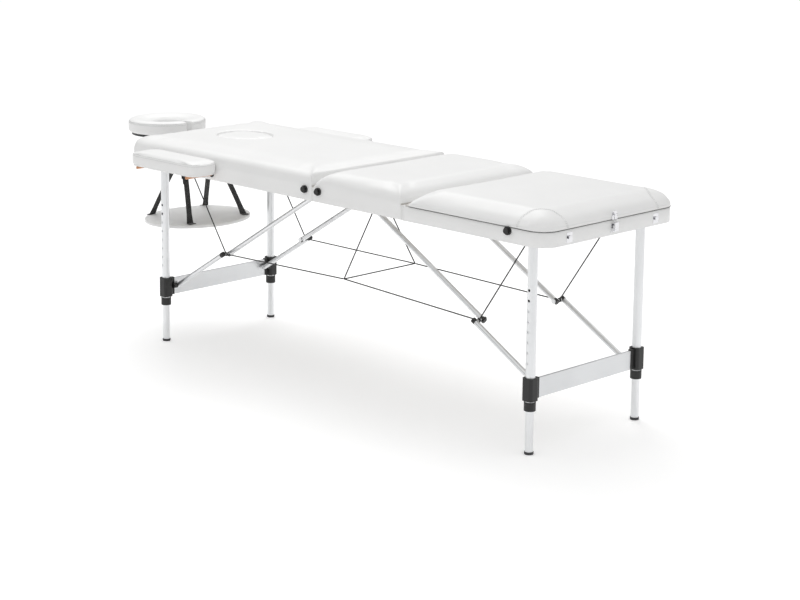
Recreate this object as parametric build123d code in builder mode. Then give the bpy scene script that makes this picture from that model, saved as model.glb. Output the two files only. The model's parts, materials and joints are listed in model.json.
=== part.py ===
from build123d import *
import os
from math import hypot

# Portable massage table with three zones, legs standing. X runs from the head to the foot,
# Y across, Z up from the floor. The two halves fold about a hinge line under the padding.

# ---- driving dimensions, mm ----
half_length = 925        # each half, from the hinge line to its outer end
table_width = 600
back_length = 545        # lifting backrest, at the outer end of the foot half
rail_bottom = 612
rail_height = 43
rail_thick = 18
cover = 2                # padding cover folded down over the rails
board_thick = 5
pad_top = 703
corner_radius = 58       # outer corners of the two halves
seam_gap = 0.5

hinge_y, hinge_drop = 200, 5
leg_pivot_drop = 16      # leg pivot above the rails' lower edge
strut_offset = 16        # strut pivots stand this far beside the leg's centre line
leg_radius = 14
leg_wall = 1.9
inner_radius = 12
inner_wall = 1.6
hole_pitch = 30
hole_count = 8
button_hole = 4          # which hole, from the top, holds the button
first_hole = 476         # height of the top hole
hole_radius = 4
inner_top = first_hole - 48
bracket_bottom, bracket_top = 157, 223
bracket_half = 18
collar_bottom, collar_top = 128, 153
strut_radius = 8
strut_pivot_height = 193
strut_top_station = 45   # strut's upper pivot from the hinge line
strut_spacing = 34       # between the two strut tubes of a knuckle
pin_radius = 4
pin_fit = 0.05
cable_radius = 1.5
cable_node_y, cable_node_z = 160, 345
cable_hook_drop = 11     # centre cables meet this far under the rails, inside the folded gap
foot_cap_height, foot_cap_floor = 8, 3

face_hole_s = 655        # breathing hole's centre from the hinge line
face_hole = (104, 90)    # its half length and half width
cradle_gap = 20
cradle_length, cradle_width = 265, 290
cradle_pad_bottom, cradle_pad_top = 672, 722
cradle_rod_y, cradle_rod_z, cradle_rod_radius = 100, 634, 6
armrest_rods = (475, 730)
armrest_rod_z, armrest_rod_radius = 632, 5
bumper_z = 646
sling_s, sling_z, sling_thick = 910, 378, 12
latch_reach = 11.5       # the latch lever stands this far past the foot end
head_reach = half_length + cradle_gap + cradle_length
foot_reach = half_length + latch_reach
hinge_x = (head_reach - foot_reach) / 2

half_width = table_width / 2
rail_out = half_width - cover
rail_in = rail_out - rail_thick
rail_top = rail_bottom + rail_height
board_top = rail_top + board_thick
leg_pivot_z = rail_bottom + leg_pivot_drop
hinge_z = rail_bottom - hinge_drop
strut_top_z = leg_pivot_z + strut_offset
tilt_s, tilt_z = 985, 655
middle_length = half_length - back_length
ratchet_z = rail_top - 6

head, foot = -1, 1
leg_y, strut_y = 240, 198
inner_y = strut_y - strut_spacing
frames = {"head": dict(side=head, leg_s=793), "foot": dict(side=foot, leg_s=836)}


def at(side, s):
    """X of a place s from the hinge line, on the head or the foot half."""
    return hinge_x + side * s


def block(x0, x1, y0, y1, z0, z1, mode=Mode.ADD):
    """A box between six faces, in any order."""
    with Locations(((x0 + x1) / 2, (y0 + y1) / 2, (z0 + z1) / 2)):
        Box(abs(x1 - x0), abs(y1 - y0), abs(z1 - z0), mode=mode)


def bar(start, end, radius, mode=Mode.ADD):
    """A round bar between two points."""
    axis = Vector(*end) - Vector(*start)
    with BuildSketch(Plane(origin=start, z_dir=axis)) as profile:
        Circle(radius)
    extrude(profile.sketch, amount=axis.length, mode=mode)


def pin_y(x, z, y0, y1, radius, mode=Mode.ADD):
    bar((x, min(y0, y1), z), (x, max(y0, y1), z), radius, mode)


def strap(start, end, width, thick):
    """A flat band between two points, its width across Y."""
    axis = Vector(*end) - Vector(*start)
    with BuildSketch(Plane(origin=start, x_dir=(0, 1, 0), z_dir=axis)) as profile:
        Rectangle(width, thick)
    extrude(profile.sketch, amount=axis.length)


def rounded_slab(x0, x1, y0, y1, z0, z1, radius):
    with BuildSketch(Plane((0, 0, z0))) as outline:
        with Locations(((x0 + x1) / 2, (y0 + y1) / 2)):
            RectangleRounded(abs(x1 - x0), abs(y1 - y0), radius)
    extrude(outline.sketch, amount=z1 - z0)


def half_slab(x_inner, x_outer, y, z0, z1, radius, mode=Mode.ADD):
    """A slab across the table: square corners towards the hinge line, rounded corners at the outer end."""
    with BuildSketch(Plane((0, 0, z0))) as outline:
        with Locations(((x_inner + x_outer) / 2, 0)):
            RectangleRounded(abs(x_outer - x_inner), 2 * y, radius)
        with Locations(((3 * x_inner + x_outer) / 4, 0)):
            Rectangle(abs(x_outer - x_inner) / 2, 2 * y)
    extrude(outline.sketch, amount=z1 - z0, mode=mode)


def save(part, name):
    part.label = name
    export_step(part, f"parts/{name}.step")


def strut_points(frame):
    """Lower pivot, knuckle and upper pivot of a folding strut, as (X, Z)."""
    side, leg_s = frame["side"], frame["leg_s"]
    reach = leg_s - strut_top_station
    drop = leg_pivot_z - strut_pivot_height
    span = hypot(reach - strut_offset, drop + strut_offset)
    lower = (span - (reach - drop)) / 2
    low = (at(side, leg_s - strut_offset), strut_pivot_height)
    top = (at(side, strut_top_station), strut_top_z)
    share = lower / span
    knuckle = tuple(a + (b - a) * share for a, b in zip(low, top))
    return low, knuckle, top


os.makedirs("parts", exist_ok=True)

# ---- rails, boards and pads of the two halves ----
for name, frame in frames.items():
    side = frame["side"]
    near_end, far_end = at(side, seam_gap), at(side, half_length - cover)
    with BuildPart() as rails:
        half_slab(near_end, far_end, rail_out, rail_bottom, rail_top, corner_radius - cover)
        half_slab(near_end + side * rail_thick, far_end - side * rail_thick, rail_in,
                  rail_bottom, rail_top, corner_radius - cover - rail_thick, Mode.SUBTRACT)
        if side == head:
            for s in armrest_rods:
                pin_y(at(side, s), armrest_rod_z, -rail_out - 1, rail_out + 1, armrest_rod_radius + pin_fit,
                      Mode.SUBTRACT)
            for y in (-cradle_rod_y, cradle_rod_y):
                bar((at(side, half_length - 40), y, cradle_rod_z), (at(side, half_length + 1), y, cradle_rod_z),
                    cradle_rod_radius + 2, Mode.SUBTRACT)
    save(rails.part, f"{name}_rails")

with BuildPart() as head_board:
    half_slab(at(head, seam_gap), at(head, half_length - cover), rail_out, rail_top, board_top,
              corner_radius - cover)
    with BuildSketch(Plane.XY.offset(rail_top)):
        with Locations((at(head, face_hole_s), 0)):
            Ellipse(*face_hole)
    extrude(amount=board_thick, mode=Mode.SUBTRACT)
save(head_board.part, "head_board")

with BuildPart() as middle_board:
    block(at(foot, seam_gap), at(foot, middle_length - seam_gap), -rail_out, rail_out, rail_top, board_top)
save(middle_board.part, "middle_board")

with BuildPart() as head_pad:
    half_slab(at(head, seam_gap), at(head, half_length), half_width, board_top, pad_top, corner_radius)
    with BuildSketch(Plane.XY.offset(board_top)):
        with Locations((at(head, face_hole_s), 0)):
            Ellipse(*face_hole)
    extrude(amount=pad_top, mode=Mode.SUBTRACT)
save(head_pad.part, "head_pad")

with BuildPart() as face_hole_plug:
    with BuildSketch(Plane.XY.offset(board_top - 4)):
        with Locations((at(head, face_hole_s), 0)):
            Ellipse(face_hole[0] - 0.5, face_hole[1] - 0.5)
    extrude(amount=pad_top - board_top + 7)
save(face_hole_plug.part, "face_hole_plug")

with BuildPart() as middle_pad:
    block(at(foot, seam_gap), at(foot, middle_length - 1), -half_width, half_width, board_top, pad_top)
save(middle_pad.part, "middle_pad")

# ---- lifting backrest on its two ratchet hinges ----
back_start = middle_length + 1
with BuildPart() as back_board:
    half_slab(at(foot, back_start + 17), at(foot, half_length - cover), rail_out,
              rail_top + seam_gap, board_top, corner_radius - cover)
    for y in (-1, 1):
        block(at(foot, back_start), at(foot, back_start + 90), y * (rail_in - 24), y * (rail_in - 8),
              rail_top, board_top - 3, Mode.SUBTRACT)
save(back_board.part, "back_board")

with BuildPart() as back_pad:
    half_slab(at(foot, back_start + 10), at(foot, half_length), half_width, board_top, pad_top,
              corner_radius)
    with BuildSketch(Plane.XZ.offset(-half_width - 1)):
        with BuildLine():
            Polyline((at(foot, back_start), board_top - 1), (at(foot, back_start + 17), board_top - 1),
                     (at(foot, back_start + 62), pad_top + 1), (at(foot, back_start), pad_top + 1),
                     close=True)
        make_face()
    extrude(amount=table_width + 2, mode=Mode.SUBTRACT)
save(back_pad.part, "back_pad")

ratchet_s = back_start + 2
with BuildPart() as ratchet_lower_arms:
    for y in (-1, 1):
        block(at(foot, ratchet_s - 80), at(foot, ratchet_s), y * (rail_in - 4), y * rail_in,
              ratchet_z - 8, ratchet_z + 5)
        pin_y(at(foot, ratchet_s), ratchet_z - 1.5, y * (rail_in - 4), y * rail_in, 7)
        pin_y(at(foot, ratchet_s), ratchet_z - 1.5, y * (rail_in - 5), y * (rail_in + 1),
              pin_radius + pin_fit, Mode.SUBTRACT)
save(ratchet_lower_arms.part, "ratchet_lower_arms")

with BuildPart() as ratchet_upper_arms:
    for y in (-1, 1):
        pin_y(at(foot, ratchet_s), ratchet_z - 1.5, y * (rail_in - 14), y * (rail_in - 4.3), 7)
        block(at(foot, ratchet_s + 6), at(foot, ratchet_s + 80), y * (rail_in - 14), y * (rail_in - 8.5),
              ratchet_z - 6, board_top - 3)
        pin_y(at(foot, ratchet_s), ratchet_z - 1.5, y * (rail_in - 4.3), y * (rail_in - 0.3), pin_radius)
save(ratchet_upper_arms.part, "ratchet_upper_arms")

# ---- hinges between the halves: leaves under the rails' ends, one pin each ----
for name, frame in frames.items():
    side = frame["side"]
    with BuildPart() as hinge_leaves:
        for y in (-hinge_y, hinge_y):
            block(at(side, 1), at(side, 40), y - 35, y + 35, rail_bottom - 2.5, rail_bottom)
            for step in (-1, 1) if side == head else (0,):
                pin_y(hinge_x, hinge_z, y + step * 23 - 11, y + step * 23 + 11, 5)
            block(at(side, 0), at(side, 4), y - 35, y + 35, rail_bottom - 5, rail_bottom - 2.5)
            pin_y(hinge_x, hinge_z, y - 36, y + 36, 3 + pin_fit, Mode.SUBTRACT)
            for step in (0,) if side == head else (-1, 1):
                pin_y(hinge_x, hinge_z, y + step * 23 - 11.5, y + step * 23 + 11.5, 5.5, Mode.SUBTRACT)
        if side == foot:
            block(at(side, 1), at(side, 14), -9, 9, rail_bottom - 2.5, rail_bottom)
            block(at(side, 1), at(side, 3.5), -9, 9, rail_bottom - 9, rail_bottom - 2.5)
    save(hinge_leaves.part, f"{name}_hinge_leaves")

with BuildPart() as hinge_pins:
    for y in (-hinge_y, hinge_y):
        pin_y(hinge_x, hinge_z, y - 37, y + 37, 3)
save(hinge_pins.part, "hinge_pins")

# ---- leg frames, struts and their hangers ----
for name, frame in frames.items():
    side, leg_s = frame["side"], frame["leg_s"]
    leg_x = at(side, leg_s)
    low, knuckle, top = strut_points(frame)
    tube_top = leg_pivot_z + leg_radius

    with BuildPart() as hangers:
        for y in (-leg_y, leg_y):
            for step in (-1, 1):
                block(leg_x - 14, leg_x + 14, y + step * 15, y + step * 18, leg_pivot_z - 10, rail_top)
            block(leg_x - 14, leg_x + 14, y - 18, y + 18, rail_top - 3, rail_top)
            pin_y(leg_x, leg_pivot_z, y - 18, y + 18, pin_radius)
            for step in (-1, 1):
                pin_y(leg_x, leg_pivot_z, y + step * 18, y + step * 21, 7)
        for y in (-inner_y, inner_y):
            for step in (-1, 1):
                block(top[0] - 11, top[0] + 11, y + step * 8.6, y + step * 11.6, top[1] - 10, rail_top)
                pin_y(*top, y + step * 11.6, y + step * 14, 7)
            pin_y(*top, y - 11.6, y + 11.6, pin_radius)
    save(hangers.part, f"{name}_hangers")

    with BuildPart() as leg_tubes:
        for y in (-1, 1):
            bar((leg_x, y * leg_y, collar_bottom), (leg_x, y * leg_y, tube_top), leg_radius)
            bar((leg_x, y * leg_y, collar_bottom), (leg_x, y * leg_y, tube_top),
                leg_radius - leg_wall, Mode.SUBTRACT)
            pin_y(leg_x, leg_pivot_z, y * (leg_y - 20), y * (leg_y + 20), pin_radius + pin_fit, Mode.SUBTRACT)
            for hole in range(hole_count):
                pin_y(leg_x, first_hole - hole * hole_pitch, y * leg_y, y * (leg_y + 20),
                      hole_radius, Mode.SUBTRACT)
    save(leg_tubes.part, f"{name}_leg_tubes")

    with BuildPart() as leg_brackets:
        for y in (-1, 1):
            rounded_slab(leg_x - bracket_half, leg_x + bracket_half, y * leg_y - bracket_half,
                         y * leg_y + bracket_half, bracket_bottom, bracket_top, 9)
            block(leg_x - 6, leg_x + 6, y * (leg_y - 32), y * (leg_y - bracket_half),
                  bracket_bottom + 3, bracket_top - 3)
            pin_y(low[0], low[1], y * (strut_y + 8.4), y * (leg_y - bracket_half), 9)
            bar((leg_x, y * leg_y, collar_bottom), (leg_x, y * leg_y, collar_top), leg_radius + 3)
            bar((leg_x, y * leg_y, collar_bottom - 1), (leg_x, y * leg_y, bracket_top + 1),
                leg_radius, Mode.SUBTRACT)
    save(leg_brackets.part, f"{name}_leg_brackets")

    with BuildPart() as crossbar:
        block(leg_x - 4, leg_x + 4, -leg_y + 32, leg_y - 32, bracket_bottom + 3, bracket_top - 6)
        block(leg_x - 2.2, leg_x + 2.2, -leg_y + 32, leg_y - 32, bracket_bottom + 5, bracket_top - 8,
              Mode.SUBTRACT)
    save(crossbar.part, f"{name}_crossbar")

    with BuildPart() as lower_struts:
        for y in (-strut_y, strut_y):
            bar((low[0], y, low[1]), (knuckle[0], y, knuckle[1]), strut_radius)
            bar((low[0], y, low[1]), (knuckle[0], y, knuckle[1]), strut_radius - 1.5, Mode.SUBTRACT)
            pin_y(*low, y - 10, y + 10, pin_radius + pin_fit, Mode.SUBTRACT)
        for y in (-1, 1):
            pin_y(*low, y * (strut_y - 8.4), y * (strut_y + 8.2), pin_radius)
            pin_y(*low, y * (strut_y - 11), y * (strut_y - 8.4), 7)
    save(lower_struts.part, f"{name}_lower_struts")

    with BuildPart() as upper_struts:
        for y in (-1, 1):
            inner = y * inner_y
            bar((knuckle[0], inner, knuckle[1]), (top[0], inner, top[1]), strut_radius)
            bar((knuckle[0], inner, knuckle[1]), (top[0], inner, top[1]), strut_radius - 1.5, Mode.SUBTRACT)
            for x, z in (knuckle, top):
                pin_y(x, z, inner - 10, inner + 10, pin_radius + pin_fit, Mode.SUBTRACT)
            pin_y(*knuckle, y * (inner_y - 9.5), y * (strut_y - strut_radius - 0.6), pin_radius)
            pin_y(*knuckle, y * (inner_y - 12), y * (inner_y - 8.5), 7)
    save(upper_struts.part, f"{name}_upper_struts")

    for place, y in (("near", -1), ("far", 1)):
        button_z = first_hole - (button_hole - 1) * hole_pitch
        with BuildPart() as inner_leg:
            bar((leg_x, y * leg_y, foot_cap_floor), (leg_x, y * leg_y, inner_top), inner_radius)
            bar((leg_x, y * leg_y, foot_cap_floor), (leg_x, y * leg_y, inner_top), inner_radius - inner_wall,
                Mode.SUBTRACT)
            pin_y(leg_x, button_z, y * leg_y, y * (leg_y + 15), hole_radius - 0.4 + pin_fit, Mode.SUBTRACT)
        save(inner_leg.part, f"{name}_{place}_inner_leg")

        with BuildPart() as foot_cap:
            bar((leg_x, y * leg_y, 0), (leg_x, y * leg_y, foot_cap_height), inner_radius + 1.6)
            bar((leg_x, y * leg_y, foot_cap_floor), (leg_x, y * leg_y, foot_cap_height + 1), inner_radius,
                Mode.SUBTRACT)
            fillet(foot_cap.edges().filter_by(GeomType.CIRCLE).group_by(Axis.Z)[0], 2)
        save(foot_cap.part, f"{name}_{place}_foot")

        with BuildPart() as button:
            pin_y(leg_x, button_z, y * (leg_y + 3), y * (leg_y + inner_radius - 0.7), hole_radius - 0.4)
            pin_y(leg_x, button_z, y * (leg_y + 2), y * (leg_y + 4), hole_radius + 1.5)
        save(button.part, f"{name}_{place}_button")

# ---- cables of the leg system, pulled straight when the legs stand ----
cable_y = strut_y - strut_spacing / 2
centre = {y: (hinge_x, y * cable_node_y, cable_node_z) for y in (-1, 1)}


def trimmed(start, end, cut_start, cut_end):
    """The same line with a length taken off each end."""
    line = (Vector(*end) - Vector(*start)).normalized()
    return tuple(Vector(*start) + line * cut_start), tuple(Vector(*end) - line * cut_end)


for name, frame in frames.items():
    low, knuckle, top = strut_points(frame)
    with BuildPart() as cables:
        for y in (-1, 1):
            leg_top = (at(frame["side"], frame["leg_s"] - 30), y * cable_y, rail_top)
            middle = (knuckle[0], y * cable_y, knuckle[1])
            bar(*trimmed(leg_top, middle, 3, pin_radius + 0.3), cable_radius)
            bar(*trimmed(middle, centre[y], pin_radius + 0.3, 6), cable_radius)
    save(cables.part, f"{name}_cables")

hook = (at(foot, 2.2), 0, rail_bottom - cable_hook_drop)
with BuildPart() as centre_cables:
    for y in (-1, 1):
        bar(*trimmed(hook, centre[y], 3, 4), cable_radius)
        with BuildSketch(Plane(origin=centre[y], z_dir=(0, 1, 0))):
            Circle(4)
            Circle(2.4, mode=Mode.SUBTRACT)
        extrude(amount=1.5, both=True)
    bar(*trimmed(centre[-1], centre[1], 4, 4), cable_radius * 0.7)
save(centre_cables.part, "centre_cables")

# ---- bumpers, closing latches and the backrest latch ----
for name, frame in frames.items():
    side = frame["side"]
    with BuildPart() as bumpers:
        for s in (30, half_length - 130):
            bar((at(side, s), -half_width, bumper_z), (at(side, s), -half_width - 6, bumper_z), 12)
            bar((at(side, s), -half_width - 6, bumper_z), (at(side, s), -half_width - 12, bumper_z), 8.5)
            bar((at(side, s), -rail_out, bumper_z), (at(side, s), -half_width, bumper_z), 5)
    save(bumpers.part, f"{name}_bumpers")

foot_end = at(foot, half_length - cover)
closing_y = 193
with BuildPart() as rail_fittings:
    block(foot_end, foot_end + 3, -12, 12, rail_bottom + 8, rail_top - 10)
    for y in (-1, 1):
        block(foot_end + 3, foot_end + 10, y * 9, y * 12, rail_bottom + 11, rail_bottom + 21)
    pin_y(foot_end + 7, rail_bottom + 16, -12, 12, 1.6)
    for y in (-closing_y, closing_y):
        block(foot_end, foot_end + 2, y - 12, y + 12, rail_bottom + 6, rail_top - 8)
        block(foot_end + 2, foot_end + 7, y - 7, y + 7, rail_bottom + 16, rail_bottom + 18)
        block(foot_end + 5.5, foot_end + 7, y - 7, y + 7, rail_bottom + 18, rail_bottom + 25)
save(rail_fittings.part, "foot_end_fittings")

with BuildPart() as latch_lever:
    block(foot_end + 11, foot_end + 13.5, -8.5, 8.5, rail_bottom + 13, rail_top - 6)
    for y in (-1, 1):
        block(foot_end + 5, foot_end + 11, y * 6.5, y * 8.5, rail_bottom + 13, rail_bottom + 28)
    pin_y(foot_end + 7, rail_bottom + 16, -9, 9, 1.6 + pin_fit, Mode.SUBTRACT)
    pin_y(foot_end + 7, rail_bottom + 25, -8.5, 8.5, 1)
save(latch_lever.part, "latch_lever")

bail_top = (foot_end + 10.8, board_top + 14)
with BuildPart() as latch_bail:
    for y in (-5.2, 5.2):
        bar((foot_end + 7, y, rail_bottom + 25), (bail_top[0], y, bail_top[1]), 0.8)
        pin_y(foot_end + 7, rail_bottom + 25, y - 1, y + 1, 2)
    pin_y(*bail_top, -6, 6, 0.8)
    pin_y(foot_end + 7, rail_bottom + 25, -8, 8, 1 + pin_fit, Mode.SUBTRACT)
save(latch_bail.part, "latch_bail")

with BuildPart() as latch_keeper:
    block(foot_end + 2, foot_end + 4, -10, 10, rail_top + 1, board_top + 20)
    block(foot_end + 4, foot_end + 8, -3, 3, board_top + 7.5, board_top + 9.5)
    block(foot_end + 8, foot_end + 9.3, -3.5, 3.5, board_top + 7.5, board_top + 13)
save(latch_keeper.part, "latch_keeper")

head_end = at(head, half_length - cover)
with BuildPart() as head_fittings:
    for y in (-closing_y, closing_y):
        block(head_end - 2.5, head_end, y - 12, y + 12, rail_bottom + 6, rail_top - 8)
        for step in (-1, 1):
            block(head_end - 10, head_end - 2.5, y + step * 9, y + step * 12, rail_bottom + 10, rail_bottom + 19)
        pin_y(head_end - 7, rail_bottom + 14.5, y - 12, y + 12, 1.6)
    for y in (-cradle_rod_y, cradle_rod_y):
        for radius, mode in ((cradle_rod_radius + 2, Mode.ADD), (cradle_rod_radius + pin_fit, Mode.SUBTRACT)):
            bar((at(head, half_length - cover - 55), y, cradle_rod_z), (at(head, half_length - cover), y, cradle_rod_z),
                radius, mode)
    for y in (-1, 1):
        block(at(head, sling_s - 9), at(head, sling_s + 10), y * 56, y * 84, rail_bottom - 3.5, rail_bottom)
save(head_fittings.part, "head_end_fittings")

for place, y in (("near", -closing_y), ("far", closing_y)):
    with BuildPart() as closing_lever:
        block(head_end - 12, head_end - 10, y - 8.5, y + 8.5, rail_bottom + 11.5, rail_top - 6)
        for step in (-1, 1):
            block(head_end - 10, head_end - 5, y + step * 6.5, y + step * 8.5,
                  rail_bottom + 11.5, rail_bottom + 17.5)
        pin_y(head_end - 7, rail_bottom + 14.5, y - 9, y + 9, 1.6 + pin_fit, Mode.SUBTRACT)
    save(closing_lever.part, f"closing_latch_{place}_lever")

# ---- face cradle on two rods ----
yoke_s = tilt_s - 12
with BuildPart() as cradle_frame:
    for y in (-cradle_rod_y, cradle_rod_y):
        bar((at(head, half_length - 95), y, cradle_rod_z), (at(head, yoke_s), y, cradle_rod_z), cradle_rod_radius)
    block(at(head, yoke_s), at(head, yoke_s + 8), -cradle_rod_y - 10, cradle_rod_y + 10, 626, 642)
    for y in (-1, 1):
        block(at(head, yoke_s + 8), at(head, tilt_s + 8), y * 60, y * 66, 632, tilt_z + 5)
    pin_y(at(head, tilt_s), tilt_z, -66, 80.5, 4)
    pin_y(at(head, tilt_s), tilt_z, -69, -66, 7)
    pin_y(at(head, tilt_s), tilt_z, 80.5, 83, 7)
save(cradle_frame.part, "cradle_frame")

cradle_mid = half_length + cradle_gap + cradle_length / 2
with BuildPart() as cradle_plate:
    with BuildSketch(Plane.XY.offset(cradle_pad_bottom - 7)):
        with Locations((at(head, cradle_mid), 0)):
            Ellipse(cradle_length / 2 - 14, cradle_width / 2 - 14)
            Ellipse(62, 70, mode=Mode.SUBTRACT)
        with Locations((at(head, half_length + cradle_gap + 40), 0)):
            Rectangle(80, 26, mode=Mode.SUBTRACT)
    extrude(amount=7)
    for y in (-1, 1):
        block(at(head, tilt_s - 7), at(head, tilt_s + 7), y * 52, y * 59.5, tilt_z - 6, cradle_pad_bottom - 7)
    pin_y(at(head, tilt_s), tilt_z, -60, 60, 4 + pin_fit, Mode.SUBTRACT)
save(cradle_plate.part, "cradle_plate")

with BuildPart() as cradle_cushion:
    with BuildSketch(Plane.XY.offset(cradle_pad_bottom)):
        with Locations((at(head, cradle_mid), 0)):
            Ellipse(cradle_length / 2, cradle_width / 2)
            Ellipse(55, 58, mode=Mode.SUBTRACT)
        with Locations((at(head, half_length + cradle_gap + 40), 0)):
            Rectangle(84, 9, mode=Mode.SUBTRACT)
    extrude(amount=cradle_pad_top - cradle_pad_bottom)
save(cradle_cushion.part, "cradle_cushion")

with BuildPart() as cradle_lever:
    pin_y(at(head, tilt_s), tilt_z, 70.5, 80, 9)
    pin_y(at(head, tilt_s), tilt_z, 66.5, 81, 4 + pin_fit, Mode.SUBTRACT)
    block(at(head, tilt_s - 3), at(head, tilt_s + 5), 71, 79, tilt_z - 62, tilt_z - 7)
save(cradle_lever.part, "cradle_cam_lever")

# ---- armrests, each on two rods in the side rail ----
for place, y in (("near", -1), ("far", 1)):
    with BuildPart() as armrest_frame:
        rounded_slab(at(head, 765), at(head, 440), y * (half_width + 6), y * (half_width + 108), 636, 645, 25)
        for s in armrest_rods:
            pin_y(at(head, s), armrest_rod_z, y * (rail_in + 1), y * (half_width + 106), armrest_rod_radius)
    save(armrest_frame.part, f"armrest_{place}_frame")
    with BuildPart() as armrest_pad:
        rounded_slab(at(head, 768), at(head, 436), y * (half_width + 3), y * (half_width + 112), 645, 683, 28)
    save(armrest_pad.part, f"armrest_{place}_pad")

# ---- arm sling under the head end, on four straps ----
with BuildPart() as sling_pad:
    with BuildSketch(Plane.XY.offset(sling_z)):
        with Locations((at(head, sling_s), 0)):
            Ellipse(160, 202)
    extrude(amount=sling_thick)
save(sling_pad.part, "sling_pad")

with BuildPart() as sling_straps:
    for y in (-1, 1):
        for step in (-1, 1):
            start = (at(head, sling_s + step * 105), y * 122, sling_z + sling_thick + 3)
            end = (at(head, sling_s + step * 8), y * 70, rail_bottom - 6.5)
            strap(start, end, 20, 1.8)
save(sling_straps.part, "sling_straps")
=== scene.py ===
import json
import math

import bmesh
import bpy
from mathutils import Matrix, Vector
from mathutils.bvhtree import BVHTree


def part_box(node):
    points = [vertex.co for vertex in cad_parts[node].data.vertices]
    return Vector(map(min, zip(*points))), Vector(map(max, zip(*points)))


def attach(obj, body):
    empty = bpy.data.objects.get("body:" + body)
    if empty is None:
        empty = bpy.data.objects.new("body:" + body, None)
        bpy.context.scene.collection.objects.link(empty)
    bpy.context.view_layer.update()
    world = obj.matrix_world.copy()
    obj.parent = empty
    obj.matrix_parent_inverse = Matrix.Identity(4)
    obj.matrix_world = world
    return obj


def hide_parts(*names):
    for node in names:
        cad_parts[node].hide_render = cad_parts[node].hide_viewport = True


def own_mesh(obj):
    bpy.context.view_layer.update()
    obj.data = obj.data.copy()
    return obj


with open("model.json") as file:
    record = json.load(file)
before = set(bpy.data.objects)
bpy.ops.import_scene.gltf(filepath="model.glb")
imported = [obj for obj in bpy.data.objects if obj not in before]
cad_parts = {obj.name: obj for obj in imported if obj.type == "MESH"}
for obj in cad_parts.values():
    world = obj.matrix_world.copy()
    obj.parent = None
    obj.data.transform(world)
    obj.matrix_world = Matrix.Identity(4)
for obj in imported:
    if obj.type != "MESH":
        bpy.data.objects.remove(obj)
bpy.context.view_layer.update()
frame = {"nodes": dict(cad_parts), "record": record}        # nodes and the imported record
nodes = frame["nodes"]
pivots = {joint["name"]: joint.get("pos_m") for joint in frame["record"]["behaviour"]["joints"]}
hingeX = pivots["table_fold"][0]
mm = 0.001
print("frame loaded:", len(nodes), "nodes")


def at(side, s):
    # x of a place s millimetres from the hinge line, side -1 for the head and 1 for the foot
    return hingeX + side * s * mm


class Wire:
    # one socket of a material, with arithmetic on it
    def __init__(self, finish, socket):
        self.finish = finish
        self.socket = socket

    def math(self, operation, first, second):
        return self.finish.node("ShaderNodeMath", {"operation": operation}, {0: first, 1: second})

    def __add__(self, other):
        return self.math("ADD", self, other)

    def __mul__(self, other):
        return self.math("MULTIPLY", self, other)

    __radd__ = __add__
    __rmul__ = __mul__


class Finish:
    # a material with one Principled shader
    def __init__(self, name, **fixed):
        self.material = bpy.data.materials.new(name)
        self.material.use_nodes = True
        self.tree = self.material.node_tree
        self.shader = self.tree.nodes["Principled BSDF"]
        self.place = self.node("ShaderNodeTexCoord", output="Object")
        for socket, value in fixed.items():
            self.set(socket.replace("_", " "), value)

    def feed(self, socket, value):
        if isinstance(value, Wire):
            self.tree.links.new(value.socket, socket)
        else:
            socket.default_value = value

    def node(self, kind, settings=None, inputs=None, output=0):
        made = self.tree.nodes.new(kind)
        for name, value in (settings or {}).items():
            if name == "stops":
                while len(made.color_ramp.elements) < len(value):
                    made.color_ramp.elements.new(1)
                for element, (position, grey) in zip(made.color_ramp.elements, value):
                    element.position = position
                    element.color = (grey, grey, grey, 1)
            else:
                setattr(made, name, value)
        for key, value in (inputs or {}).items():
            self.feed(made.inputs[key], value)
        return Wire(self, made.outputs[output])

    def set(self, socket, value):
        self.feed(self.shader.inputs[socket], value)

    def noise(self, scale, detail=3, stretch=(1, 1, 1)):
        where = self.node("ShaderNodeMapping", {}, {"Vector": self.place, "Scale": stretch})
        return self.node("ShaderNodeTexNoise", {}, {"Vector": where, "Scale": scale, "Detail": detail})

    def colours(self, factor, dark, light):
        return self.node("ShaderNodeMix", {"data_type": "RGBA"},
                         {0: factor, 6: (*dark, 1), 7: (*light, 1)}, output=2)

    def bump(self, height, strength, distance):
        self.set("Normal", self.node("ShaderNodeBump", {}, {"Strength": strength, "Distance": distance,
                                                            "Height": height}))


def whiteVinyl():
    finish = Finish("whiteVinyl", Specular_IOR_Level=0.45, Sheen_Weight=0.15, Sheen_Roughness=0.5)
    pores = finish.node("ShaderNodeTexVoronoi", {"feature": "SMOOTH_F1"},
                        {"Vector": finish.place, "Scale": 620, "Smoothness": 0.4})
    creases = finish.noise(38, 4)
    tone = finish.noise(5, 2)
    finish.set("Base Color", finish.colours(tone, (0.80, 0.80, 0.795), (0.875, 0.875, 0.87)))
    finish.set("Roughness", 0.38 + 0.10 * creases)
    finish.bump(pores + 1.5 * creases, 0.22, 0.0005)
    return finish.material


def anodised(name, dark, light, stretch):
    finish = Finish(name, Metallic=1.0)
    lines = finish.noise(400, 2, stretch)
    tone = finish.noise(7, 2)
    finish.set("Base Color", finish.colours(tone, dark, light))
    finish.set("Roughness", 0.30 + 0.12 * lines)
    finish.bump(lines, 0.12, 0.0002)
    return finish.material


def moulded(name, dark, light, roughness, grain):
    finish = Finish(name)
    texture = finish.noise(grain, 5)
    wear = finish.noise(12, 3)
    finish.set("Base Color", finish.colours(wear, dark, light))
    finish.set("Roughness", roughness + 0.12 * wear)
    finish.bump(texture, 0.25, 0.0003)
    return finish.material


def plated(name, colour, roughness):
    finish = Finish(name, Metallic=1.0)
    haze = finish.noise(90, 4)
    finish.set("Base Color", finish.colours(haze, [c * 0.9 for c in colour], colour))
    finish.set("Roughness", roughness + 0.10 * haze)
    finish.bump(haze, 0.05, 0.0002)
    return finish.material


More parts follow.
